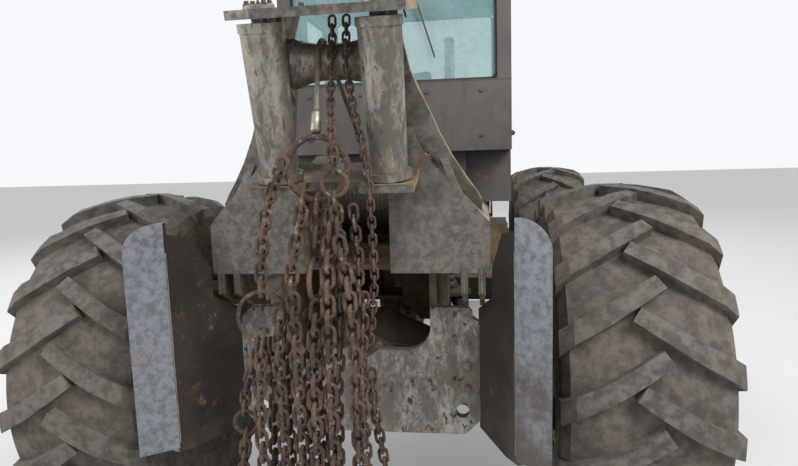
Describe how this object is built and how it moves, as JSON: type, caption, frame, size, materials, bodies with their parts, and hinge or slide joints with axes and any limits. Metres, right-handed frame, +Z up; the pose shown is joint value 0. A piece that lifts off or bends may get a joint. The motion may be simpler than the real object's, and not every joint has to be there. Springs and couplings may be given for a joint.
{
  "type": "articulated cable skidder",
  "caption": "Articulated forestry tractor with a fairlead arch, winch and choker chains at the back, a cab in the middle and a blade in front.",
  "frame": {"origin": "on the ground, under the middle of the machine's box", "axes": "+X to the machine's right, +Y forward, +Z up"},
  "size_m": [2.762, 5.2213, 2.92],
  "materials": {
    "tyre": "worn and dusty",
    "rim_paint": "faded, chipped",
    "frame_paint": "faded, dirty",
    "worn_steel": "scraped bare",
    "dark_steel": "greasy",
    "chain_steel": "rusty",
    "rope_steel": "dirty",
    "cab_paint": "dusty",
    "window_glass": "tinted",
    "chrome_rod": "polished",
    "seat_vinyl": "worn",
    "cab_plastic": "moulded",
    "lamp_lens": "clear",
    "exhaust_rust": "heat-rusted"
  },
  "bodies": {
    "rear_body": {"rear_frame": "frame_paint", "rear_axle": "dark_steel", "stern_plate": "worn_steel", "log_guards": "worn_steel", "fairlead_arch": "frame_paint", "winch_case": "frame_paint", "main_line": "rope_steel", "choker_chains": "chain_steel", "rear_driveshaft": "dark_steel"},
    "front_body": {"front_frame": "frame_paint", "front_axle": "dark_steel", "front_driveshaft": "dark_steel", "transmission": "dark_steel", "engine_block": "dark_steel", "hood": "frame_paint", "grille": "dark_steel", "exhaust_stack": "exhaust_rust", "air_cleaner": "cab_plastic", "side_tanks": "frame_paint", "cab_frame": "cab_paint", "cab_roof": "cab_paint", "cab_glass": "window_glass", "seat_base": "dark_steel", "seat_cushion": "seat_vinyl", "dashboard": "cab_plastic", "steering_wheel": "cab_plastic", "work_lamps": "lamp_lens"},
    "drum": {"winch_drum": "dark_steel"},
    "upright_left": {"roller_left": "worn_steel"},
    "upright_right": {"roller_right": "worn_steel"},
    "spool": {"cross_roller": "worn_steel"},
    "blade_body": {"blade": "worn_steel", "blade_arms": "frame_paint"},
    "wheel_rear_left": {"tyre_rear_left": "tyre", "rim_rear_left": "rim_paint"},
    "wheel_rear_right": {"tyre_rear_right": "tyre", "rim_rear_right": "rim_paint"},
    "wheel_front_left": {"tyre_front_left": "tyre", "rim_front_left": "rim_paint"},
    "wheel_front_right": {"tyre_front_right": "tyre", "rim_front_right": "rim_paint"},
    "door_body_left": {"door_left": "cab_paint", "door_glass_left": "window_glass"},
    "steer_barrel_body_left": {"steer_barrel_left": "dark_steel"},
    "steer_rod_body_left": {"steer_rod_left": "chrome_rod"},
    "lift_barrel_body_left": {"lift_barrel_left": "dark_steel"},
    "lift_rod_body_left": {"lift_rod_left": "chrome_rod"},
    "door_body_right": {"door_right": "cab_paint", "door_glass_right": "window_glass"},
    "steer_barrel_body_right": {"steer_barrel_right": "dark_steel"},
    "steer_rod_body_right": {"steer_rod_right": "chrome_rod"},
    "lift_barrel_body_right": {"lift_barrel_right": "dark_steel"},
    "lift_rod_body_right": {"lift_rod_right": "chrome_rod"}
  },
  "joints": [
    {"name": "articulation", "type": "hinge", "parent": "rear_body", "child": "front_body", "pos_m": [0, -0.344, 0.925], "axis": [0, 0, 1], "range_deg": [-42, 42]},
    {"name": "wheel_rear_left_spin", "type": "hinge", "parent": "rear_body", "child": "wheel_rear_left", "pos_m": [-1.08, -1.769, 0.8025], "axis": [1, 0, 0], "continuous": true},
    {"name": "wheel_rear_right_spin", "type": "hinge", "parent": "rear_body", "child": "wheel_rear_right", "pos_m": [1.08, -1.769, 0.8025], "axis": [1, 0, 0], "continuous": true},
    {"name": "wheel_front_left_spin", "type": "hinge", "parent": "front_body", "child": "wheel_front_left", "pos_m": [-1.08, 1.081, 0.8025], "axis": [1, 0, 0], "continuous": true},
    {"name": "wheel_front_right_spin", "type": "hinge", "parent": "front_body", "child": "wheel_front_right", "pos_m": [1.08, 1.081, 0.8025], "axis": [1, 0, 0], "continuous": true},
    {"name": "door_left_swing", "type": "hinge", "parent": "front_body", "child": "door_body_left", "pos_m": [-0.711, 0.249, 2.1], "axis": [0, 0, -1], "range_deg": [0, 95]},
    {"name": "door_right_swing", "type": "hinge", "parent": "front_body", "child": "door_body_right", "pos_m": [0.711, 0.249, 2.1], "axis": [0, 0, 1], "range_deg": [0, 95]},
    {"name": "drum_spin", "type": "hinge", "parent": "rear_body", "child": "drum", "pos_m": [0, -1.659, 1.57], "axis": [1, 0, 0], "continuous": true},
    {"name": "upright_left_spin", "type": "hinge", "parent": "rear_body", "child": "upright_left", "pos_m": [-0.198, -2.419, 1.7], "axis": [0, -0.2284, 0.9736], "continuous": true},
    {"name": "upright_right_spin", "type": "hinge", "parent": "rear_body", "child": "upright_right", "pos_m": [0.198, -2.419, 1.7], "axis": [0, -0.2284, 0.9736], "continuous": true},
    {"name": "spool_spin", "type": "hinge", "parent": "rear_body", "child": "spool", "pos_m": [0, -2.36278, 2.09528], "axis": [1, 0, 0], "continuous": true},
    {"name": "blade_lift", "type": "hinge", "parent": "front_body", "child": "blade_body", "pos_m": [0, 1.511, 0.7], "axis": [1, 0, 0], "range_deg": [-10, 25]},
    {"name": "steer_barrel_left_swing", "type": "hinge", "parent": "rear_body", "child": "steer_barrel_body_left", "pos_m": [-0.392, -1.094, 0.9], "axis": [0, 0, 1], "range_deg": [-12, 12]},
    {"name": "steer_rod_left_slide", "type": "slide", "parent": "steer_barrel_body_left", "child": "steer_rod_body_left", "axis": [0.2102, 0.9777, 0], "range_m": [-0.156, 0.156]},
    {"name": "lift_barrel_left_swing", "type": "hinge", "parent": "front_body", "child": "lift_barrel_body_left", "pos_m": [-0.54, 1.861, 1.33], "axis": [1, 0, 0], "range_deg": [-6, 6]},
    {"name": "lift_rod_left_slide", "type": "slide", "parent": "lift_barrel_body_left", "child": "lift_rod_body_left", "axis": [0, 0.1434, -0.9897], "range_m": [-0.21, 0.09]},
    {"name": "steer_barrel_right_swing", "type": "hinge", "parent": "rear_body", "child": "steer_barrel_body_right", "pos_m": [0.392, -1.094, 0.9], "axis": [0, 0, 1], "range_deg": [-12, 12]},
    {"name": "steer_rod_right_slide", "type": "slide", "parent": "steer_barrel_body_right", "child": "steer_rod_body_right", "axis": [-0.2102, 0.9777, 0], "range_m": [-0.156, 0.156]},
    {"name": "lift_barrel_right_swing", "type": "hinge", "parent": "front_body", "child": "lift_barrel_body_right", "pos_m": [0.54, 1.861, 1.33], "axis": [1, 0, 0], "range_deg": [-6, 6]},
    {"name": "lift_rod_right_slide", "type": "slide", "parent": "lift_barrel_body_right", "child": "lift_rod_body_right", "axis": [0, 0.1434, -0.9897], "range_m": [-0.21, 0.09]}
  ],
  "couplings": [
    {"joint": "steer_barrel_left_swing", "follows": "articulation", "ratio": -0.01535},
    {"joint": "steer_rod_left_slide", "follows": "articulation", "m_per_rad": -0.20557},
    {"joint": "lift_barrel_left_swing", "follows": "blade_lift", "ratio": 0.09715},
    {"joint": "lift_rod_left_slide", "follows": "blade_lift", "m_per_rad": -0.44286},
    {"joint": "steer_barrel_right_swing", "follows": "articulation", "ratio": -0.01535},
    {"joint": "steer_rod_right_slide", "follows": "articulation", "m_per_rad": 0.20557},
    {"joint": "lift_barrel_right_swing", "follows": "blade_lift", "ratio": 0.09715},
    {"joint": "lift_rod_right_slide", "follows": "blade_lift", "m_per_rad": -0.44286}
  ]
}
